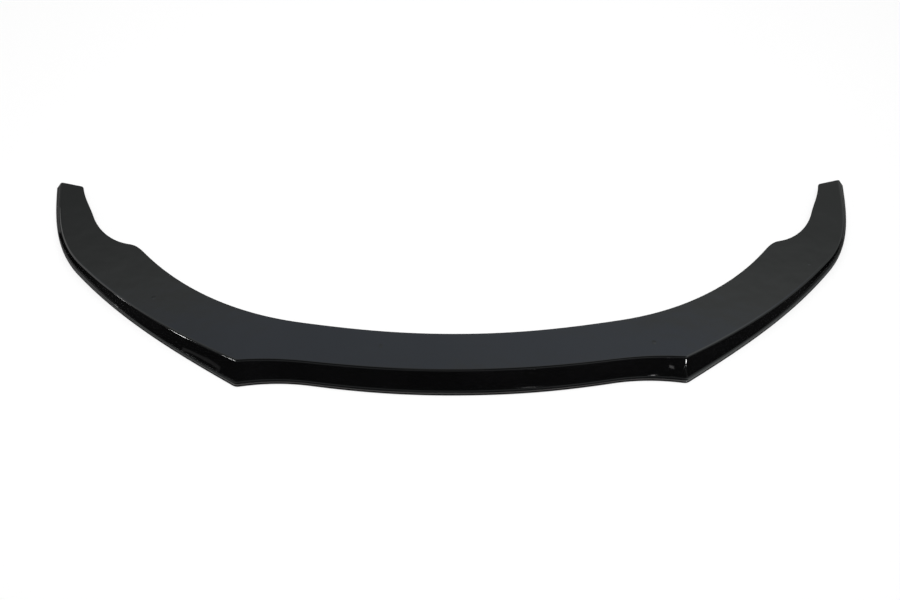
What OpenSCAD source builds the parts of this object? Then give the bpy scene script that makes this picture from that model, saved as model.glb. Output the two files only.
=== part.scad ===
// Front splitter lip: one sheet moulding with a flat top plate, two swept-back wings,
// a leaning front wall that gets lower towards the tips and a narrow foot flange.
// X runs across, Y runs from the front to the tips, Z is up. The foot lies on Z = 0.

/* [Sheet] */
// thickness of the moulded sheet
sheet_t = 4; // [3:0.5:5]
// height of the plate's top face at its front edge, on the centre line
front_h = 48; // [44:1:54]
// fall of the plate from the front to the tips, in degrees
plate_fall = 2.86; // [2.4:0.1:3.2]
// depth from the foremost point of the foot to the ends of the tips
lip_depth = 604; // [599:1:609]

/* [Foot outline] */
// half width at which the front bow meets its shoulder
bow_x = 300; // [285:5:315]
// set-back of the foot at the shoulder
bow_y = 26.8; // [25:0.2:29]
// direction of the foot at the shoulder
bow_dir = 10; // [8:0.5:12]
// half width at the corner of the foot
corner_x = 453; // [448:1:458]
// set-back of the foot at the corner
corner_y = 26; // [25:0.5:28]
// direction in which the bow runs into the corner
corner_in = -9.5; // [-12:0.5:-7]
// direction in which the wing leaves the corner
corner_out = 35; // [33:0.5:37]
// length of each side of the foot's corner that is rounded off
corner_cut = 7; // [5:1:9]
// half width at the hip, where the wing turns backwards
hip_x = 807.5; // [803.5:1:811.5]
// set-back of the hip
hip_y = 331.5; // [328:0.5:335]
// direction of the foot at the hip
hip_dir = 50; // [48:0.5:52]
// half width of the foot just behind the tips
tip_x = 898.5; // [894.5:1:902.5]
// direction of the foot at the tips
tip_dir = 84; // [82:0.5:86]

/* [Top crease outline] */
// set-back of the crease on the centre line
crease_y = 25.6; // [24:0.2:27]
// set-back of the crease at the shoulder
crease_bow_y = 49.2; // [47:0.2:51]
// direction of the crease at the shoulder
crease_bow_dir = 8.5; // [7:0.5:10]
// half width at the corner of the crease
crease_corner_x = 449.5; // [446:0.5:453]
// set-back of the corner of the crease
crease_corner_y = 56.2; // [54:0.2:58]
// direction in which the crease runs into its corner
crease_in = -4.5; // [-7:0.5:-2]
// direction in which the crease leaves its corner
crease_out = 29.5; // [27:0.5:32]
// length of each side of the crease's corner that is rounded off
crease_cut = 3; // [2:0.5:5]
// set-in of the crease from the foot at the hip
crease_hip_in = 6.7; // [6:0.1:8]
// direction of the crease at the hip
crease_hip_dir = 49; // [47:0.5:51]
// half width of the crease just behind the tips
crease_tip_x = 886.5; // [884:0.5:889]
// direction of the crease at the tips
crease_tip_dir = 83; // [81:0.5:85]

/* [Rear edge] */
// set-back of the rear edge on the centre line
rear_y = 125.5; // [119.5:0.5:131.5]
// half width at the rear edge's first bend
rear_bow_x = 328; // [320:1:336]
// set-back of the rear edge's first bend
rear_bow_y = 161; // [157.5:0.5:164.5]
// direction of the rear edge at its first bend
rear_bow_dir = 11; // [9:0.5:13]
// half width at the start of the shoulder bump
bump_x = 668; // [664:1:672]
// set-back of the start of the shoulder bump
bump_y = 368.5; // [365:0.5:372]
// direction of the rear edge where the bump starts
bump_dir = 51; // [48:0.5:54]
// half width at the end of the shoulder bump
bump_end_x = 704.5; // [701:0.5:708]
// set-back of the end of the shoulder bump
bump_end_y = 397; // [393.6:0.2:399.6]
// direction of the rear edge where the bump ends
bump_end_dir = 12; // [9:0.5:15]
// half width where the rear edge straightens towards the tip
neck_x = 794.5; // [790.5:1:798.5]
// set-back where the rear edge straightens
neck_y = 487; // [483:1:491]
// direction of the rear edge there
neck_dir = 69.5; // [66.5:0.5:72.5]
// half width at the inner corner of the tip
tip_in_x = 831.5; // [827.5:1:835.5]
// direction of the rear edge at the tip
tip_in_dir = 77.5; // [74.5:0.5:80.5]
// slant of the tip's end, in degrees
end_slant = 16.5; // [14:0.5:19]
// radius of the tip's inner corner
tip_in_r = 9; // [7:1:11]
// radius of the tip's outer corner
tip_out_r = 4; // [3:0.5:6]

/* [Section] */
// outer radius of the crease between the plate and the wall
crease_r = 5; // [4.5:0.5:6]
// outer radius of the crease at the tips
crease_tip_r = 9; // [7:0.5:10]
// radius of the fillet between the wall and the foot flange
fillet_r = 6; // [4:0.5:7]
// width of the foot flange along the front
flange_w = 6.2; // [5:0.1:7]
// width of the foot flange at the hip
flange_hip_w = 4.8; // [4:0.1:5]
// width to which the foot flange fades behind the hip
flange_tip_w = 1; // [0.8:0.1:2]
// radius of the flange's upper outer edge
edge_r = 1.2; // [0.8:0.1:1.6]
// hollow of the wall, as its turn away from a straight line at each end, in degrees
wall_hollow = 4; // [0:0.5:5]

/* [Hidden] */
// steps along each stretch of the foot and crease, from the centre to the tip; the flange fades
// within the first few steps behind the hip
bow_steps = 7;
shoulder_steps = 7;
corner_steps = 6;
wing_steps = 13;
fade_steps = 5;
tip_steps = 11;
// steps along each bend of the rear edge and around each rounded corner of the tips
rear_steps = 14;
round_steps = 7;
// steps along the crease, wall, fillet and edge of the section
crease_steps = 5;
wall_steps = 3;
fillet_steps = 4;
edge_steps = 2;
// handle length of a curve between two points, as a share of their distance
handle = 0.35;
// how far the guides run on behind the tips, and how far blanks stand clear of the trim
run_on = 24;
clear = 30;
// width of the plate's strip that belongs to the rim, and how much of it the plate overlaps
strap_w = 8;
overlap = 2;

// a direction as a unit vector
function heading(a) = [cos(a), sin(a)];

// a point on the smooth curve that leaves p and enters q, each given as [x, y, direction]
function between(p, q, s) =
    let (
        a = [p.x, p.y],
        d = [q.x, q.y],
        reach = handle * norm(d - a),
        b = a + reach * heading(p.z),
        c = d - reach * heading(q.z)
    )
    pow(1 - s, 3) * a + 3 * pow(1 - s, 2) * s * b + 3 * (1 - s) * s * s * c + pow(s, 3) * d;

// the points of a path through the given stops, with a number of steps for each stretch
function path(stops, steps) = [
    for (i = [0 : len(steps) - 1])
        for (k = [(i == 0 ? 0 : 1) : steps[i]])
            between(stops[i], stops[i + 1], k / steps[i])
];

// the two stops that round off a corner
function corner_stops(x, y, a_in, a_out, cut) = [
    [x - cut * cos(a_in), y - cut * sin(a_in), a_in],
    [x + cut * cos(a_out), y + cut * sin(a_out), a_out]
];

// foot and crease in plan, from the centre line to behind the right-hand tip
guide_end = lip_depth + run_on;
guide_steps = [bow_steps, shoulder_steps, corner_steps, wing_steps, tip_steps];
foot_stops = concat(
    [[0, 0, 0], [bow_x, bow_y, bow_dir]],
    corner_stops(corner_x, corner_y, corner_in, corner_out, corner_cut),
    [[hip_x, hip_y, hip_dir], [tip_x, guide_end, tip_dir]]
);
crease_stops = concat(
    [[0, crease_y, 0], [bow_x, crease_bow_y, crease_bow_dir]],
    corner_stops(crease_corner_x, crease_corner_y, crease_in, crease_out, crease_cut),
    [[hip_x - crease_hip_in * sin(hip_dir), hip_y + crease_hip_in * cos(hip_dir), crease_hip_dir],
     [crease_tip_x, guide_end, crease_tip_dir]]
);
foot_half = path(foot_stops, guide_steps);
crease_half = path(crease_stops, guide_steps);
last = len(foot_half) - 1;
hip_at = bow_steps + shoulder_steps + corner_steps + wing_steps;

// the plate's own plane: its Y runs down the fall from the crease and its Z is square to it
function onto_plate(p) = [p.x, (p.y - crease_y) / cos(plate_fall)];
function foot_y(p) = (p.y - crease_y) * cos(plate_fall) + front_h * sin(plate_fall);
function foot_z(y) = y * tan(plate_fall) - front_h / cos(plate_fall);

// flange width at station i: narrower at the hip than along the front, and faded out at the tips
function flange_at(i) =
    lookup(i, [[hip_at - wing_steps, flange_w], [hip_at, flange_hip_w],
        [hip_at + fade_steps, flange_tip_w]]);
function crease_r_at(i) = lookup(i, [[hip_at, crease_r], [hip_at + tip_steps, crease_tip_r]]);

// section of the rim with the crease at [0, h] and the flange's outer edge at [d, 0]; the flange
// is w wide and gets thinner where it is narrower than the sheet is thick
function section(h, d, w, r) =
    let (
        foot_t = min(sheet_t, w),
        lean = atan2(h - foot_t, d - w),
        a1 = lean + wall_hollow,
        a2 = lean - wall_hollow,
        cut1 = r * tan(a1 / 2),
        cut2 = min(fillet_r * tan(a2 / 2), 0.6 * w),
        round_w = min(edge_r, 0.3 * w),
        in1 = (r - sheet_t) * tan(a1 / 2),
        in2 = cut2 + foot_t * tan(a2 / 2),
        back = sheet_t * tan(lean / 2),
        inner_foot = h / tan(lean) - sheet_t / sin(lean),
        top = concat(corner_stops(0, h, 0, -a1, cut1),
            corner_stops(d - w, foot_t, -a2, 0, cut2)),
        edge = [[d - round_w, foot_t, 0], [d, foot_t - round_w, -90]],
        under = concat(corner_stops(inner_foot, 0, 180, 180 - a2, in2),
            corner_stops(-back, h - sheet_t, 180 - a1, 180, in1))
    )
    concat(
        [[-strap_w, h]],
        path(top, [crease_steps, wall_steps, fillet_steps]),
        path(edge, [edge_steps]),
        [[d, 0]],
        path(under, [fillet_steps, wall_steps, crease_steps]),
        [[-strap_w, h - sheet_t]]
    );

// one ring of the rim on side s at station i, in the plate's own frame
function ring(i, s) =
    let (
        c = onto_plate(crease_half[i]),
        f = [foot_half[i].x, foot_y(foot_half[i])],
        base = foot_z(f.y),
        out = (f - c) / norm(f - c)
    )
    [for (p = section(-base, norm(f - c), flange_at(i), crease_r_at(i)))
        let (
            at = c + p.x * out,
            level = max(0, 1 - p.y / (-base - sheet_t)),
            rise = (foot_z(at.y) - base) * level
        )
        [s * at.x, at.y, p.y + base + rise]];

rings = concat([for (i = [last : -1 : 1]) ring(i, -1)], [for (i = [0 : last]) ring(i, 1)]);
ring_n = len(rings[0]);
ring_last = len(rings) - 1;

// faces that close the rim's end at the ring that starts at point o: the sheet's thickness, then
// the edge of the flange
bend_n = crease_steps + wall_steps + fillet_steps + 1;
function end_faces(o) = concat(
    [for (k = [0 : bend_n - 1])
        each [[o + k, o + k + 1, o + ring_n - 2 - k],
              [o + k, o + ring_n - 2 - k, o + ring_n - 1 - k]]],
    [[for (k = [bend_n : ring_n - 1 - bend_n]) o + k]]
);
function turned(faces) = [for (f = faces) [for (k = [len(f) - 1 : -1 : 0]) f[k]]];

// trimmed outline behind the foot, from the centre line round the tip
end_dir = heading(end_slant);
out_centre = [tip_x - tip_out_r - run_on / tan(tip_dir), lip_depth - tip_out_r];
end_in_y = out_centre.y + tip_out_r / cos(end_slant)
    - (out_centre.x - tip_in_x) * tan(end_slant);
in_cut = tip_in_r * tan((tip_in_dir - end_slant) / 2);
rear_stops = concat(
    [[0, rear_y, 0], [rear_bow_x, rear_bow_y, rear_bow_dir], [bump_x, bump_y, bump_dir],
     [bump_end_x, bump_end_y, bump_end_dir], [neck_x, neck_y, neck_dir]],
    corner_stops(tip_in_x, end_in_y, tip_in_dir, end_slant, in_cut)
);
rear_half = concat(
    path(rear_stops, [rear_steps, rear_steps, round_steps, rear_steps, round_steps, round_steps]),
    [for (k = [0 : 2 * round_steps])
        let (a = k < round_steps ? 90 + end_slant * (1 - k / round_steps)
            : 90 - (90 + 90 - tip_dir) * (k - round_steps) / round_steps)
        out_centre + tip_out_r * heading(a)],
    [[tip_x + clear, lip_depth - 2 * tip_out_r], [tip_x + clear, -clear]]
);

function mirrored(points) = [for (i = [len(points) - 1 : -1 : 0]) [-points[i].x, points[i].y]];

// flat top plate before it is trimmed, with its top face on Z = 0 of its own frame
module plate_blank() {
    inset = [for (i = [0 : last])
        let (c = onto_plate(crease_half[i]),
            f = [foot_half[i].x, foot_y(foot_half[i])])
        c - (strap_w - overlap) * (f - c) / norm(f - c)];
    translate([0, 0, -sheet_t])
        linear_extrude(sheet_t)
            polygon(concat(mirrored(inset), [for (i = [1 : last]) inset[i]]));
}

// crease, leaning wall, fillet and foot flange, carried from tip to tip
module rim() {
    polyhedron(
        points = [for (r = rings) each r],
        faces = concat(
            [for (j = [0 : ring_last - 1])
                for (k = [0 : ring_n - 1])
                    let (a = j * ring_n + k, b = j * ring_n + (k + 1) % ring_n)
                    each [[a, b + ring_n, b], [a, a + ring_n, b + ring_n]]],
            end_faces(0),
            turned(end_faces(ring_last * ring_n))
        )
    );
}

// everything in front of the rear edge and the rounded tips
module trim() {
    translate([0, 0, -clear])
        linear_extrude(front_h + 2 * clear)
            polygon(concat(mirrored(rear_half), [for (i = [1 : len(rear_half) - 1]) rear_half[i]]));
}

module splitter_lip() {
    color("#17181a")
        translate([0, -lip_depth / 2, 0])
            intersection() {
                translate([0, crease_y, front_h])
                    rotate([-plate_fall, 0, 0])
                        union() {
                            plate_blank();
                            rim();
                        }
                trim();
            }
}

splitter_lip();
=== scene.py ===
import bpy
import numpy as np
from mathutils import Matrix


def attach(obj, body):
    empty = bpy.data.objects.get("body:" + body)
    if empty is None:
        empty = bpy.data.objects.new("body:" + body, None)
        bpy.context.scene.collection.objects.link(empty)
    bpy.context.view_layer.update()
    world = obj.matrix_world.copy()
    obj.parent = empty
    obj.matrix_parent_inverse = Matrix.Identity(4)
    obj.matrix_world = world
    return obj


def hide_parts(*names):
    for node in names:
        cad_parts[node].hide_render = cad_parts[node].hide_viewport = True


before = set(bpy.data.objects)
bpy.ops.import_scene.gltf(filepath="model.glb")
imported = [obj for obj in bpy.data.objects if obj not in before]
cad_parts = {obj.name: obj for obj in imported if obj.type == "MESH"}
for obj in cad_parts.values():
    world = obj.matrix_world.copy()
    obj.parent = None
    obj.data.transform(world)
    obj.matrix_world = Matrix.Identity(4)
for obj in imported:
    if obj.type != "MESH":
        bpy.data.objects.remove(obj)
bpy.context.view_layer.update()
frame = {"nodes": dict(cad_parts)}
print("frame loaded:", ", ".join(frame["nodes"]))

# The lip as it is drawn, in millimetres and degrees: x across, y rearwards from the foremost point
# of the foot, z up. A stop is a point of a smooth outline with the outline's direction there.
moulding = {
    "sheet": 4.0,
    "frontHeight": 48.0,
    "fall": 2.86,  # slope of the plate towards the rear
    "depth": 604.0,
    "runOn": 24.0,  # the outlines run on past the depth by this, and the tip's end cuts them
    "handle": 0.35,  # how long a curve keeps to its stops' directions, as a share of its chord
    "footBow": (300.0, 26.8, 10.0),  # x, y, direction
    "footCorner": (453.0, 26.0, -9.5, 35.0, 7.0),  # x, y, direction in, direction out, cut
    "footHip": (807.5, 331.5, 50.0),
    "footTip": (898.5, 84.0),  # x and direction just behind the tip
    "creaseFront": 25.6,
    "creaseBow": (300.0, 49.2, 8.5),
    "creaseCorner": (449.5, 56.2, -4.5, 29.5, 3.0),
    "creaseHip": (6.7, 49.0),  # set in from the foot, and direction
    "creaseTip": (886.5, 83.0),
    "rear": ((0.0, 125.5, 0.0), (328.0, 161.0, 11.0), (668.0, 368.5, 51.0),
             (704.5, 397.0, 12.0), (794.5, 487.0, 69.5)),
    "tipInner": (831.5, 77.5, 9.0),  # x, direction and corner radius
    "tipOuterRadius": 4.0,
    "endSlant": 16.5,
    "creaseRadius": (5.0, 9.0),  # up to the hip, and at the tips
    "filletRadius": 6.0,
    "filletShare": 0.6,  # the most of the flange's width that the fillet takes
    "flange": (6.2, 4.8, 1.0),  # width along the front, at the hip and behind it
    "flangeFade": 5 / 11,  # share of the last stretch over which the flange fades
    "flangeRound": 1.2,
    "footRound": 0.5,
    "roundShare": 0.3,  # the most of the flange's width or thickness that a rounding takes
    "hollow": 4.0,  # how far the wall's two ends turn from its mean slope
    "trimRound": (0.8, 0.15),  # rounding of the trimmed edge on the plate, and at the flange
    "trimShare": 0.45,  # the most of the edge's thickness that one rounding takes
}
# how finely the surface is divided
mesh = {
    "stations": (36, 34, 24, 84, 64),  # along bow, shoulder, corner, wing and tip
    "crease": 10,  # steps down the rim: crease, wall, fillet and each small rounding
    "wall": 8,
    "fillet": 8,
    "rounds": 4,
    "paintedReflectionRows": 4,  # how many rows of the flange's top are painted paler as a painted reflection, from the fillet's last row on
    "plate": 8,
    "plateCorner": 6,  # rows that follow the tip's inner rounded corner
    "plateTip": 50.0,  # width of the plate at the tip, over which those rows are measured
    "plateLast": (0.97, 0.992),  # last rows before the crease, as shares of the way across
    "endStations": 40,  # stations that lean over to meet the tip's slanted end
    "endStep": 0.2,  # last step before that end, as a share of the step before
    "trimSteps": 4,
    "trimFade": 0.6,  # where along the rim the rounding of the trimmed edge starts to shrink
    # where the cross lines of the plate meet the rear edge: along the rim, along the rear edge
    "rearMatch": ((0, 1, 3, 4, 5), (0, 0.9, 1.22, 2.9, 5.25)),
    "rearRunOn": 100.0,  # straight run-on of the rear edge past its last stop, for each step
}


def heading(angle):
    # unit vector in plan: cosine and sine of the angle from the x axis
    return np.stack([np.cos(np.radians(angle)), np.sin(np.radians(angle))], -1)


def between(p, q, s):
    # cubic curve that leaves stop p and enters stop q in their directions
    a, d = p[..., :2], q[..., :2]
    reach = moulding["handle"] * np.linalg.norm(d - a, axis=-1)[..., None]
    b = a + reach * heading(p[..., 2])
    c = d - reach * heading(q[..., 2])
    s = s[..., None]
    return (1 - s) ** 3 * a + 3 * (1 - s) ** 2 * s * b + 3 * (1 - s) * s * s * c + s**3 * d


def follow(stops, t):
    # point number t on the path through the stops: the whole part picks the stretch
    stops = np.asarray(stops, float)
    i = np.clip(np.floor(t).astype(int), 0, len(stops) - 2)
    s = (t - i).reshape(t.shape + (1,) * (stops.ndim - 2))
    return between(stops[i], stops[i + 1], s)


def cornerStops(x, y, angleIn, angleOut, cut):
    # the two stops that round a corner off, cut back along each of its sides
    x, y, angleIn, angleOut, cut = np.broadcast_arrays(x, y, angleIn, angleOut, cut)
    before = np.stack([x, y], -1) - cut[..., None] * heading(angleIn)
    after = np.stack([x, y], -1) + cut[..., None] * heading(angleOut)
    return [np.concatenate([before, angleIn[..., None]], -1),
            np.concatenate([after, angleOut[..., None]], -1)]


def stop(x, y, angle):
    # one stop for each station
    return np.stack(np.broadcast_arrays(x, y, angle), -1).astype(float)


def divide(counts):
    # path numbers with so many steps in each stretch
    parts = [i + np.linspace(0, 1, n + 1)[min(i, 1):] for i, n in enumerate(counts)]
    return np.concatenate(parts)


def guides(u):
    # foot and crease outlines in plan at path numbers u
    m = moulding
    end = m["depth"] + m["runOn"]
    hip = m["footHip"]
    setIn, hipDirection = m["creaseHip"]
    inward = np.array([-np.sin(np.radians(hip[2])), np.cos(np.radians(hip[2]))])
    foot = [(0, 0, 0), m["footBow"], *cornerStops(*m["footCorner"]), hip,
            (m["footTip"][0], end, m["footTip"][1])]
    crease = [(0, m["creaseFront"], 0), m["creaseBow"], *cornerStops(*m["creaseCorner"]),
              (*(np.array(hip[:2]) + setIn * inward), hipDirection),
              (m["creaseTip"][0], end, m["creaseTip"][1])]
    return follow(foot, u), follow(crease, u)


def section(h, d, w, r):
    # section of the rim with its crease at (0, h) and the foot's outer edge at (d, 0): the outer
    # line from the plate to the flange's edge, and the inner line back from the foot's lower edge
    m = moulding
    t = m["sheet"]
    footT = np.minimum(t, w)
    lean = np.degrees(np.arctan2(h - footT, d - w))
    half = lambda a: np.tan(np.radians(a / 2))
    upper, lower = lean + m["hollow"], lean - m["hollow"]
    cutLow = np.minimum(m["filletRadius"] * half(lower), m["filletShare"] * w)
    edge = np.minimum(m["flangeRound"], m["roundShare"] * w)
    under = np.minimum(m["footRound"], m["roundShare"] * footT)
    innerFoot = h / np.tan(np.radians(lean)) - t / np.sin(np.radians(lean))
    bends = divide((mesh["crease"], mesh["wall"], mesh["fillet"]))
    rounds = np.linspace(0, 1, mesh["rounds"] + 1)
    outer = follow([*cornerStops(0, h, 0, -upper, r * half(upper)),
                    *cornerStops(d - w, footT, -lower, 0, cutLow)], bends)
    edgeTop = follow([stop(d - edge, footT, 0), stop(d, footT - edge, -90)], rounds)
    edgeFoot = follow([stop(d, under, -90), stop(d - under, 0, 180)], rounds)
    inner = follow([*cornerStops(innerFoot, 0, 180, 180 - lower, cutLow + footT * half(lower)),
                    *cornerStops(-t * half(lean), h - t, 180 - upper, 180, (r - t) * half(upper))],
                   3 - bends[::-1])
    flatTop = (outer[-1:] + edgeTop[:1]) / 2
    flatFoot = (edgeFoot[-1:] + inner[:1]) / 2
    return np.concatenate([outer, flatTop, edgeTop, edgeFoot, flatFoot, inner])


def rimRows(u):
    # the section carried along both guides, in the plate's own tilted frame, then turned upright:
    # the plate falls to the rear while the foot stays on the ground
    m = moulding
    fall = np.radians(m["fall"])
    foot, crease = guides(u)
    along = lambda p, y: np.stack([p[:, 0], y], -1)
    c = along(crease, (crease[:, 1] - m["creaseFront"]) / np.cos(fall))
    f = along(foot, (foot[:, 1] - m["creaseFront"]) * np.cos(fall) + m["frontHeight"] * np.sin(fall))
    ground = lambda y: y * np.tan(fall) - m["frontHeight"] / np.cos(fall)
    base = ground(f[:, 1])
    span = np.linalg.norm(f - c, axis=-1)
    out = (f - c) / span[:, None]
    width = np.interp(u, [3, 4, 4 + m["flangeFade"]], m["flange"])
    radius = np.interp(u, [4, 5], m["creaseRadius"])
    profile = section(-base, span, width, radius)
    at = c + profile[..., :1] * out
    level = np.maximum(0, 1 - profile[..., 1] / (-base - m["sheet"]))
    z = profile[..., 1] + base + (ground(at[..., 1]) - base) * level
    return np.stack([at[..., 0],
                     at[..., 1] * np.cos(fall) + z * np.sin(fall) + m["creaseFront"],
                     z * np.cos(fall) - at[..., 1] * np.sin(fall) + m["frontHeight"]], -1)


def tipCorners():
    # centres of the tip's outer and inner rounded corners, and the slanted end's outward normal
    m = moulding
    tipX, tipDirection = m["footTip"]
    innerX, innerDirection, innerR = m["tipInner"]
    outerR, slant = m["tipOuterRadius"], np.radians(m["endSlant"])
    outer = np.array([tipX - outerR - m["runOn"] / np.tan(np.radians(tipDirection)),
                      m["depth"] - outerR])
    endY = outer[1] + outerR / np.cos(slant) - (outer[0] - innerX) * np.tan(slant)
    cut = innerR * np.tan(np.radians(innerDirection - m["endSlant"]) / 2)
    start = np.array([innerX, endY]) - cut * heading(innerDirection)
    inner = start - innerR * heading(innerDirection + 90)
    return outer, inner, start, heading(m["endSlant"] + 90)


def tipEnd(x, inset):
    # y of the tip's end at x, drawn in by the inset, and the plan normal there: round the inner
    # corner, along the slanted end and round the outer corner
    outer, inner, start, normal = tipCorners()
    outerR = moulding["tipOuterRadius"] - inset
    innerR = moulding["tipInner"][2] - inset
    back = heading(moulding["tipInner"][1] + 90)
    arc = lambda centre, r: centre[1] + np.sqrt(np.maximum(r * r - (x - centre[0]) ** 2, 0))
    straight = outer[1] + (outerR - (x - outer[0]) * normal[0]) / normal[1]
    onStart = x < inner[0] + innerR * back[0]
    onInner = x < inner[0] + innerR * normal[0]
    onStraight = x < outer[0] + outerR * normal[0]
    y = np.select([onStart, onInner, onStraight],
                  [inner[1] + innerR * back[1], arc(inner, innerR), straight], arc(outer, outerR))
    point = np.stack([x, y], -1)
    away = np.select([onInner[..., None], onStraight[..., None]],
                     [point - inner, np.broadcast_to(normal, point.shape)], point - outer)
    return y, away / np.linalg.norm(away, axis=-1)[..., None]


def rearLine(u):
    # rear edge matched to the rim's path numbers, with its plan normal, which points rearwards
    stops = [*moulding["rear"], (*tipCorners()[2], moulding["tipInner"][1])]
    v = np.interp(u, *mesh["rearMatch"])
    last = len(stops) - 1
    on = np.minimum(v, last)
    step = 1e-4  # short way back along the path, which gives its direction
    ahead = follow(stops, on) - follow(stops, on - step)
    ahead[0] = (1, 0)  # straight across in the middle
    ahead /= np.linalg.norm(ahead, axis=-1)[:, None]
    point = follow(stops, on) + np.maximum(v - last, 0)[:, None] * mesh["rearRunOn"] * ahead
    return point, np.stack([-ahead[:, 1], ahead[:, 0]], -1)


def halfRows():
    # right half of the sheet as rows of points: over the plate from the rear edge, down the rim
    # and back along the underside; each row ends on the tip's slanted end
    m = moulding
    u = divide(mesh["stations"])
    rim = rimRows(u)
    rear, rearNormal = rearLine(u)
    fall = np.tan(np.radians(m["fall"]))
    edge = rear - m["trimRound"][0] * rearNormal
    top = m["frontHeight"] - (edge[:, 1] - m["creaseFront"]) * fall
    thick = m["sheet"] / np.cos(np.radians(m["fall"]))
    turn = np.radians(np.linspace(0, m["tipInner"][1] - m["endSlant"], mesh["plateCorner"]))
    nearEdge = (m["tipInner"][2] - m["trimRound"][0]) * (1 - np.cos(turn)) / mesh["plateTip"]
    across = np.concatenate([nearEdge, np.linspace(nearEdge[-1], 1, mesh["plate"])[1:-1],
                             mesh["plateLast"]])[:, None, None]
    above = np.concatenate([edge, top[:, None]], -1)
    below = np.concatenate([edge, (top - thick)[:, None]], -1)
    plate = above + across * (rim[:1] - above)
    underside = below + across[::-1] * (rim[-1:] - below)
    rows = np.concatenate([plate, rim, underside])
    # each row is cut where it meets the tip's end, and its last stations are spread up to there
    half = len(rows) // 2
    toFold = (half - np.arange(half)) / (mesh["fillet"] + 2 * mesh["rounds"])
    full, small = m["trimRound"]
    inset = small + (full - small) * np.clip(toFold - mesh["trimFade"], 0, 1)
    inset = np.concatenate([inset, inset[::-1]])[:, None]
    over = rows[..., 1] - tipEnd(rows[..., 0], inset)[0]
    k = np.arange(len(rows))
    j = np.argmax(over >= -1e-9, axis=1)  # the first station past the end
    cut = j - over[k, j] / (over[k, j] - over[k, j - 1])
    stations = rows.shape[1]
    first = stations - 1 - mesh["endStations"]
    spread = np.linspace(0, 1, mesh["endStations"] + 1)
    spread = np.concatenate([spread[:-1], [1 - mesh["endStep"] * (1 - spread[-2]), 1]])
    at = np.concatenate([np.broadcast_to(np.arange(first), (len(rows), first)),
                         first + spread * (cut[:, None] - first)], 1)
    i = np.minimum(np.floor(at).astype(int), stations - 2)
    share = (at - i)[..., None]
    k = k[:, None]
    return rows[k, i] * (1 - share) + rows[k, i + 1] * share, inset, rearNormal, at[0]


def makeMoulding(name):
    # one closed mesh: the folded sheet as a grid from tip to tip, and the trimmed edge as a strip
    # round the rear edge and both ends, with its two arrises rounded
    rows, inset, rearNormal, at = halfRows()
    count = len(rows)
    fold = count // 2
    endNormal = tipEnd(rows[:, -1, 0], inset[:, 0])[1]
    normal = np.stack([np.interp(at, np.arange(len(rearNormal)), rearNormal[:, i])
                       for i in (0, 1)], -1)
    flip = np.array([-1, 1, 1])
    grid = np.concatenate([rows[:, :0:-1] * flip, rows], 1)
    wide = grid.shape[1]
    index = np.arange(count * wide).reshape(count, wide)
    # columns of the strip: left end from the fold, rear edge, right end to the fold
    ends = np.arange(fold - 1, 0, -1)
    columns = np.concatenate([index[ends, 0], index[0], index[ends[::-1], -1]])
    partners = np.concatenate([index[count - 1 - ends, 0], index[-1],
                               index[count - 1 - ends[::-1], -1]])
    edgeNormal = np.concatenate([endNormal[ends] * (-1, 1), normal[:0:-1] * (-1, 1), normal,
                                 endNormal[ends[::-1]]])
    edgeNormal = np.concatenate([edgeNormal, np.zeros((len(edgeNormal), 1))], -1)
    edgeNormal /= np.linalg.norm(edgeNormal, axis=-1)[:, None]
    rounding = np.concatenate([inset[ends, 0], np.full(wide, inset[0, 0]), inset[ends[::-1], 0]])
    points = grid.reshape(-1, 3)
    a, d = points[columns], points[partners]
    through = d - a - ((d - a) * edgeNormal).sum(-1)[:, None] * edgeNormal
    depth = np.linalg.norm(through, axis=-1)[:, None]
    through /= depth
    r = np.minimum(rounding[:, None], moulding["trimShare"] * depth)
    turn = np.linspace(0, np.pi / 2, mesh["trimSteps"] + 1)[1:, None, None]
    out, down = rounding[:, None] * np.sin(turn), r * (1 - np.cos(turn))
    upper = a + out * edgeNormal + down * through
    lower = (d + out * edgeNormal - down * through)[::-1]
    strip = np.concatenate([upper, lower])
    inner = len(points) + np.arange(strip.shape[0] * strip.shape[1]).reshape(strip.shape[:2])
    band = np.concatenate([columns[None], inner, partners[None]])
    quads = lambda g: np.stack([g[:-1, :-1], g[1:, :-1], g[1:, 1:], g[:-1, 1:]], -1).reshape(-1, 4)
    faces = np.concatenate([quads(index), quads(band[:, ::-1])]).tolist()
    faces += [band[:, 0].tolist(), band[::-1, -1].tolist()]
    points = np.concatenate([points, strip.reshape(-1, 3)])
    points = (points - [0, moulding["depth"] / 2, 0]) / 1000  # metres from the middle of the box
    data = bpy.data.meshes.new(name)
    data.from_pydata(points, [], faces)
    data.polygons.foreach_set("use_smooth", np.ones(len(data.polygons), bool))
    # points marked with 1: the side that faces the ground, the trimmed edge and the flange's top,
    # which gets a painted reflection
    flange = fold - mesh["rounds"] - 3  # the fillet's last row
    marks = {"backFace": index[fold + mesh["rounds"]:], "cutEdge": inner,
             "paintedReflectionShare": index[flange:flange + mesh["paintedReflectionRows"]]}
    for mark, where in marks.items():
        values = np.zeros(len(points), np.float32)
        values[where.ravel()] = 1
        data.attributes.new(mark, "FLOAT", "POINT").data.foreach_set("value", values)
    data.validate()
    data.update()
    piece = bpy.data.objects.new(name, data)
    bpy.context.scene.collection.objects.link(piece)
    return piece


lip = makeMoulding("lip_moulding")
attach(lip, "root")
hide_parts("splitter_lip")
print("moulding made:", len(lip.data.polygons), "faces")


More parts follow.
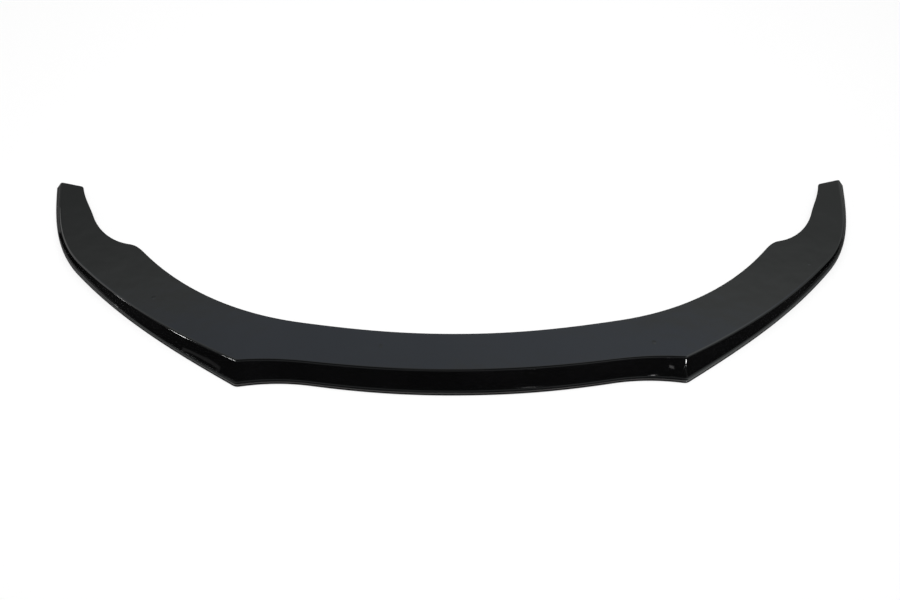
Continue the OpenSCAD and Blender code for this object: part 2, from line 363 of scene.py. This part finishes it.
class Wire:
    # an output socket that takes part in plain arithmetic: each sign adds its Math node
    def __init__(self, graph, socket):
        self.graph, self.socket = graph, socket

    def maths(self, operation, *values):
        return self.graph.add("ShaderNodeMath", {"operation": operation}, dict(enumerate(values)))

    def __add__(self, other): return self.maths("ADD", self, other)
    def __radd__(self, other): return self.maths("ADD", other, self)
    def __sub__(self, other): return self.maths("SUBTRACT", self, other)
    def __rsub__(self, other): return self.maths("SUBTRACT", other, self)
    def __mul__(self, other): return self.maths("MULTIPLY", self, other)
    def __rmul__(self, other): return self.maths("MULTIPLY", other, self)


class Graph:
    # the node tree of a material or of the world
    def __init__(self, owner):
        owner.use_nodes = True
        self.tree = owner.node_tree
        self.tree.nodes.clear()

    def add(self, kind, settings=None, sockets=None, out=0):
        # one node: its settings first, then the values or links of its sockets
        node = self.tree.nodes.new(kind)
        for key, value in (settings or {}).items():
            setattr(node, key, value)
        for key, value in (sockets or {}).items():
            if isinstance(value, Wire):
                self.tree.links.new(value.socket, node.inputs[key])
            else:
                node.inputs[key].default_value = value
        return Wire(self, node.outputs[out]) if node.outputs else node

    def objectPlace(self):
        return self.add("ShaderNodeTexCoord", out=3)

    def split(self, vector):
        # x, y and z of a vector
        node = self.add("ShaderNodeSeparateXYZ", None, {0: vector}).socket.node
        return [Wire(self, output) for output in node.outputs]


def ramp(graph, value, start, end, low, high):
    # goes smoothly from low to high while the value goes from start to end
    return graph.add("ShaderNodeMapRange", {"interpolation_type": "SMOOTHSTEP"}, {
        "Value": value, "From Min": start, "From Max": end, "To Min": low, "To Max": high})


# Glossy black moulded plastic, in metres: colour and roughness drift a little, the skin is slightly
# wavy and has a few nibs. The side towards the ground is satin and grained, its colour raised as
# painted fill light, the trimmed edge dull, and the flange's top painted paler as a painted
# reflection.
glossBlack = {
    "colours": ((0.0016, 0.0016, 0.0018, 1), (0.0028, 0.0028, 0.0031, 1)),
    "driftNoise": (5.0, 3.0),  # scale and detail of the clouds between the two colours
    "rubNoise": (9.0, 4.0),  # and between the two values of roughness
    "noiseRange": (0.35, 0.65),  # part of the noise that the change is spread over
    "roughness": (0.055, 0.09),
    # the back's own satin tone, raised further as painted fill light so that its shaded side shows
    # its form
    "backColourAndPaintedFill": (0.03, 0.03, 0.031, 1),
    "backRoughness": 0.42,
    "backGrain": (700.0, 0.00012),  # scale and height
    # painted reflection: the flange's top is made paler in colour to stand in for the light it
    # reflects
    "paintedReflectionColour": (0.045, 0.044, 0.044, 1),
    "cutRoughness": 0.35,
    "cutGrain": (350.0, 0.0002),
    "wave": (15.0, 0.0006),
    "peel": (450.0, 0.00002),
    "grainDetail": 2.0,
    "nibs": ((-0.633, -0.068, 0.005, 0.0003), (-0.163, -0.209, 0.005, 0.0002),  # x, y, radius, height
             (0.390, -0.204, 0.005, 0.0003), (0.755, 0.022, 0.004, 0.0002)),
}


def makeGlossBlack(name):
    # shares painted on the mesh lay the back, the flange's painted reflection and the trimmed edge
    # over the front's skin
    look = glossBlack
    graph = Graph(bpy.data.materials.new(name))
    place = graph.objectPlace()
    x, y = graph.split(place)[:2]
    cloud = lambda scale, detail: graph.add("ShaderNodeTexNoise", None, {
        "Vector": place, "Scale": scale, "Detail": detail})
    grain = lambda scale, height: cloud(scale, look["grainDetail"]) * height
    share = lambda kind: graph.add("ShaderNodeAttribute", {"attribute_name": kind}, out=2)
    back, cut, foot = share("backFace"), share("cutEdge"), share("paintedReflectionShare")
    # mixes of plain numbers and of colours: a where the share is 0 and b where it is 1
    blend = lambda amount, a, b: graph.add("ShaderNodeMix", None, {0: amount, 2: a, 3: b})
    tint = lambda amount, a, b: graph.add("ShaderNodeMix", {"data_type": "RGBA"}, {
        0: amount, 6: a, 7: b}, out=2)
    drift = ramp(graph, cloud(*look["driftNoise"]), *look["noiseRange"], 0.0, 1.0)
    rub = ramp(graph, cloud(*look["rubNoise"]), *look["noiseRange"], *look["roughness"])
    # the back's colour carries painted fill light on top of its satin tone
    colour = tint(back, tint(drift, *look["colours"]), look["backColourAndPaintedFill"])
    # the flange's top is painted paler: a painted reflection, not a colour of its own
    colour = tint(foot, colour, look["paintedReflectionColour"])
    roughness = blend(cut, blend(back, rub, look["backRoughness"]), look["cutRoughness"])
    # height of the skin: waves and a fine peel, and on each nib a bell that fades at its radius
    skin = grain(*look["wave"]) + grain(*look["peel"])
    for nibX, nibY, radius, height in look["nibs"]:
        across, along = x - nibX, y - nibY
        skin = skin + ramp(graph, across * across + along * along, 0.0, radius**2, height, 0.0)
    relief = blend(cut, blend(back, skin, grain(*look["backGrain"])), grain(*look["cutGrain"]))
    normal = graph.add("ShaderNodeBump", None, {"Strength": 1.0, "Distance": 1.0,
                                                "Height": relief})
    shader = graph.add("ShaderNodeBsdfPrincipled", None, {
        "Base Color": colour, "Roughness": roughness, "Normal": normal})
    graph.add("ShaderNodeOutputMaterial", None, {"Surface": shader})
    return bpy.data.materials[name]


lip.data.materials.append(makeGlossBlack("gloss_black_plastic"))
print("materials made")

# camera as the photograph has it, in millimetres and degrees; the aim lies on the ground
photoView = {
    "elevation": 48.136,
    "yaw": 3.037,
    "roll": 1.901,
    "aim": (-18.44, 255.91),
    "distance": 2960.44,
    "focal": 1400.0,  # in pixels of the 900 wide frame
    "width": 900.0,
}


def makeCamera(view):
    # looks along yaw and elevation at the aim, turned about its own axis by the roll
    e, yaw, roll = (np.radians(view[k]) for k in ("elevation", "yaw", "roll"))
    forward = np.array([np.sin(yaw) * np.cos(e), np.cos(yaw) * np.cos(e), -np.sin(e)])
    right = np.array([np.cos(yaw), -np.sin(yaw), 0])
    up = np.cross(right, forward)
    right, up = (np.cos(roll) * right + np.sin(roll) * up,
                 np.cos(roll) * up - np.sin(roll) * right)
    aim = np.array([view["aim"][0], view["aim"][1] - moulding["depth"] / 2, 0])
    place = (aim - view["distance"] * forward) / 1000
    data = bpy.data.cameras.new("camera")
    data.sensor_width = 36.0
    data.lens = data.sensor_width * view["focal"] / view["width"]
    camera = bpy.data.objects.new("camera", data)
    turn = np.stack([right, up, -forward], 1)
    camera.matrix_world = Matrix.Translation(place) @ Matrix(turn.tolist()).to_4x4()
    bpy.context.scene.collection.objects.link(camera)
    bpy.context.scene.camera = camera


makeCamera(photoView)
print("camera placed")

bpy.context.scene.view_settings.view_transform = "Standard"

# Studio, in metres and degrees: a pale floor under a soft overhead lamp, and round them what the
# gloss alone sees: a light tent, a dark table top whose far edge passes between the tips, a low dark
# flag by the left wing, and the lights and cards of the next list. Azimuth 0 is rearwards and 90 to
# the right. The tent's heights are those of a direction on the unit sphere.
studio = {
    "floor": 30.0,  # half its side
    "floorDrop": 0.001,  # the floor lies just under the table top, which lies just under the lip
    "floorColour": (0.9, 0.9, 0.9, 1),
    "floorWhite": 0.7,  # share of the floor that shows plain white, so that the shadow stays faint
    "tentRadius": 14.0,
    "tentSteps": (48, 25),  # points round it and up it
    "tentReach": 1.5,  # how far up and down it goes, in radians
    "tentRear": (0.40, 0.72),  # glow towards the rear, low and high
    "tentRise": (0.57, 0.70),  # heights over which low turns to high
    "tentSide": 0.5,  # how much brighter it is to the right
    "tentSideFrom": (0.01, 0.05),  # above the band the sides are brighter, by this square of x
    "tentSideMore": 0.5,
    "tentFront": 0.95,  # how far round to the front the rear's glow ends
    "tentOver": (0.03, 0.3),  # glow of the front, low and high
    "tentOverRise": (0.25, 0.6),
    "tentCrown": (0.70, 0.80),  # heights over which the front's glow falls again
    "tentCrownLeft": 0.2,  # and what is left of it
    "tentTop": (0.83, 0.89),  # heights over which the rear's glow falls to the front's
    "tentColour": (0.95, 1.0, 0.98, 1),
    "tentBlue": (0.90, 1.0, 1.15, 1),  # a bluish band
    "tentBlueFrom": (0.655, 0.695),  # heights at which it sets in and at which it ends
    "tentBlueTo": (0.715, 0.75),
    "tableRadius": 13.9,  # just inside the tent, so that no white floor shows between them
    "tableSides": 64,
    "tableNear": (-0.05, 0.04),  # between these it darkens from its front part to its middle
    "tableFar": (0.141, 0.149),  # the far edge of its dark part, over which it lightens
    "tableSlant": 0.017,  # how much nearer that edge lies for each metre to the right
    "tableLight": (0.025, 0.005, 0.09, 0.16),  # front, middle, just behind that edge, further back
    "tableBack": 0.45,
    "flag": ((-0.833, -0.085), (-0.518, -0.370), 0.042),  # ends in plan, and height
    "lampHeight": 3.0,
    "lampSize": 3.5,
    "lampPower": 120.0,
    "fill": 0.3,  # strength of the even light from all round
}
# lights and glowing cards that only the gloss sees: the point of the lip that looks at each, the
# direction in which it looks, how far away the light is, its size across and up, and its strength
glints = (
    {"name": "panel_left", "point": (-0.6, 0.0, 0.04), "azimuth": -72, "elevation": 24,
     "distance": 4.0, "size": (3.6, 3.2), "strength": 1.2},
    {"name": "strip_left", "point": (-0.568, -0.1732, 0.0428), "azimuth": -114, "elevation": 9,
     "distance": 4.0, "size": (0.13, 1.0), "strength": 60},
    {"name": "strip_wing", "point": (-0.70, -0.07, 0.0377), "azimuth": -99, "elevation": 12,
     "distance": 4.0, "size": (0.14, 0.7), "strength": 12},
    {"name": "spot_left", "point": (-0.463, -0.241, 0.046), "azimuth": -122, "elevation": 22,
     "distance": 4.0, "size": (0.2, 0.4), "strength": 60},
    {"name": "spot_right", "point": (0.448, -0.249, 0.046), "azimuth": 148, "elevation": -3,
     "distance": 0.6, "size": (0.06, 0.03), "strength": 120},
    {"name": "spot_front", "point": (0.39, -0.258, 0.012), "azimuth": 171, "elevation": 5.8,
     "distance": 4.0, "size": (0.12, 0.08), "strength": 12},
    {"name": "patch_left", "point": (-0.536, -0.218, 0.014), "azimuth": -116, "elevation": -17,
     "distance": 0.035, "size": (0.09, 0.004), "strength": 0.2},
    {"name": "patch_right", "point": (0.420, -0.254, 0.0245), "azimuth": 174.5, "elevation": 2,
     "distance": 0.06, "size": (0.007, 0.0035), "strength": 1.3},
)


def makeStage(name, points, faces, material):
    # a piece of the studio
    data = bpy.data.meshes.new(name)
    data.from_pydata(points, [], faces)
    data.update()
    piece = bpy.data.objects.new(name, data)
    bpy.context.scene.collection.objects.link(piece)
    data.materials.append(material)
    return piece


def onlyInGloss(piece):
    # reflections see it, and nothing else does
    for ray in ("camera", "diffuse", "transmission", "shadow", "volume_scatter"):
        setattr(piece, "visible_" + ray, False)


def glowing(name, strength):
    # material that only shines
    graph = Graph(bpy.data.materials.new(name))
    light = graph.add("ShaderNodeEmission", None, {"Strength": strength})
    graph.add("ShaderNodeOutputMaterial", None, {"Surface": light})
    return bpy.data.materials[name]


def seenRay(graph):
    # 1 for what the camera, a reflection or a clear material sees
    ray = graph.add("ShaderNodeLightPath")
    rays = [Wire(graph, ray.socket.node.outputs["Is %s Ray" % kind])
            for kind in ("Camera", "Glossy", "Transmission")]
    return rays[0] + rays[1] + rays[2]


def makeFloor():
    # diffuse, with a share of plain white for the rays that look at it, and clear from below
    graph = Graph(bpy.data.materials.new("pale_floor"))
    diffuse = graph.add("ShaderNodeBsdfDiffuse", None, {"Color": studio["floorColour"]})
    white = graph.add("ShaderNodeEmission", None, {"Color": (1, 1, 1, 1), "Strength": 1.0})
    shown = seenRay(graph) * studio["floorWhite"]
    clear = graph.add("ShaderNodeBsdfTransparent")
    fromBelow = Wire(graph, graph.add("ShaderNodeNewGeometry").socket.node.outputs["Backfacing"])
    pale = graph.add("ShaderNodeMixShader", None, {0: shown, 1: diffuse, 2: white})
    surface = graph.add("ShaderNodeMixShader", None, {0: fromBelow, 1: pale, 2: clear})
    graph.add("ShaderNodeOutputMaterial", None, {"Surface": surface})
    h = studio["floor"]
    z = -studio["floorDrop"]
    corners = [(-h, -h, z), (h, -h, z), (h, h, z), (-h, h, z)]
    makeStage("floor", corners, [(0, 1, 2, 3)], bpy.data.materials["pale_floor"])


def makeTent():
    # sphere round the object that glows inwards, open at its two poles: its glow falls off smoothly
    # towards the front and at the top
    graph = Graph(bpy.data.materials.new("light_tent"))
    direction = graph.add("ShaderNodeVectorMath", {"operation": "NORMALIZE"},
                          {0: graph.objectPlace()})
    across, towards, upwards = graph.split(direction)
    rear = ramp(graph, upwards, *studio["tentRise"], *studio["tentRear"])
    above = ramp(graph, upwards, *studio["tentBlueTo"], 0.0, 1.0)
    aside = ramp(graph, across * across, *studio["tentSideFrom"], 0.0, studio["tentSideMore"])
    rear = rear * (across * studio["tentSide"] + 1.0) * (above * aside + 1.0)
    turned = ramp(graph, towards, -studio["tentFront"], 0.0, 0.0, 1.0)
    turned = turned * ramp(graph, upwards, *studio["tentTop"], 1.0, 0.0)
    front = ramp(graph, upwards, *studio["tentOverRise"], *studio["tentOver"])
    front = front * ramp(graph, upwards, *studio["tentCrown"], 1.0, studio["tentCrownLeft"])
    glow = turned * (rear - front) + front
    blue = ramp(graph, upwards, *studio["tentBlueFrom"], 0.0, 1.0) * (1.0 - above)
    colour = graph.add("ShaderNodeMix", {"data_type": "RGBA"}, {
        0: blue, 6: studio["tentColour"], 7: studio["tentBlue"]}, out=2)
    light = graph.add("ShaderNodeEmission", None, {"Color": colour, "Strength": glow})
    graph.add("ShaderNodeOutputMaterial", None, {"Surface": light})
    around, up = studio["tentSteps"]
    reach = studio["tentReach"]
    turn, rise = np.meshgrid(np.linspace(0, 2 * np.pi, around + 1)[:-1],
                             np.linspace(-reach, reach, up))
    points = np.stack([np.cos(rise) * np.cos(turn), np.cos(rise) * np.sin(turn), np.sin(rise)], -1)
    index = np.arange(points.shape[0] * points.shape[1]).reshape(points.shape[:2])
    beside = np.roll(index, -1, 1)
    faces = np.stack([index[:-1], index[1:], beside[1:], beside[:-1]], -1).reshape(-1, 4)
    onlyInGloss(makeStage("light_tent", studio["tentRadius"] * points.reshape(-1, 3),
                          faces.tolist(), bpy.data.materials["light_tent"]))


def makeTable():
    # table top just above the floor, seen by the gloss alone: dark, and lighter behind its far edge
    graph = Graph(bpy.data.materials.new("dark_table"))
    x, y = graph.split(graph.objectPlace())[:2]
    back = x * studio["tableSlant"] + y
    near, dark, edge, far = studio["tableLight"]
    start, end = studio["tableFar"]
    light = (ramp(graph, back, *studio["tableNear"], near - dark, 0.0)
             + ramp(graph, back, start, end, dark, edge)
             + ramp(graph, back, end, studio["tableBack"], 0.0, far - edge))
    glow = graph.add("ShaderNodeEmission", None, {"Strength": light})
    graph.add("ShaderNodeOutputMaterial", None, {"Surface": glow})
    sides = studio["tableSides"]
    turn = np.linspace(0, 2 * np.pi, sides + 1)[:-1]
    points = studio["tableRadius"] * np.stack([np.cos(turn), np.sin(turn), 0 * turn], -1)
    points[:, 2] = -studio["floorDrop"] / 2
    onlyInGloss(makeStage("dark_table", points, [list(range(sides))],
                          bpy.data.materials["dark_table"]))


def makeFlag():
    # low dark card along the left wing that keeps the narrow lights off the foot's fillet
    start, end, height = studio["flag"]
    corners = [(*start, 0), (*end, 0), (*end, height), (*start, height)]
    onlyInGloss(makeStage("flag", corners, [(0, 1, 2, 3)],
                          glowing("flag", studio["tableLight"][0])))


def makeGlint(glint):
    # a glowing card square to the line from its point of the lip
    azimuth, elevation = np.radians(glint["azimuth"]), np.radians(glint["elevation"])
    away = np.array([np.sin(azimuth) * np.cos(elevation), np.cos(azimuth) * np.cos(elevation),
                     np.sin(elevation)])
    right = np.array([np.cos(azimuth), -np.sin(azimuth), 0])
    up = np.cross(right, away)
    centre = np.array(glint["point"]) + glint["distance"] * away
    across, high = np.array(glint["size"]) / 2
    corners = [centre + i * across * right + k * high * up
               for i, k in ((-1, -1), (1, -1), (1, 1), (-1, 1))]
    onlyInGloss(makeStage(glint["name"], corners, [(0, 1, 2, 3)],
                          glowing(glint["name"], glint["strength"])))


def makeLamp():
    # soft square light overhead, which the gloss doesn't see
    data = bpy.data.lights.new("overhead", "AREA")
    data.size = studio["lampSize"]
    data.energy = studio["lampPower"]
    lamp = bpy.data.objects.new("overhead", data)
    lamp.location = (0, 0, studio["lampHeight"])
    lamp.visible_glossy = False
    bpy.context.scene.collection.objects.link(lamp)


def makeWorld():
    # white for the rays that look at it, and a weaker fill for the rest
    world = bpy.data.worlds.new("studio")
    bpy.context.scene.world = world
    graph = Graph(world)
    white = graph.add("ShaderNodeBackground", None, {"Color": (1, 1, 1, 1)})
    fill = graph.add("ShaderNodeBackground", None, {"Color": (1, 1, 1, 1),
                                                    "Strength": studio["fill"]})
    graph.add("ShaderNodeOutputWorld", None, {
        "Surface": graph.add("ShaderNodeMixShader", None, {0: seenRay(graph), 1: fill, 2: white})})


makeFloor()
makeTent()
makeTable()
makeFlag()
for glint in glints:
    makeGlint(glint)
makeLamp()
makeWorld()
print("studio made")
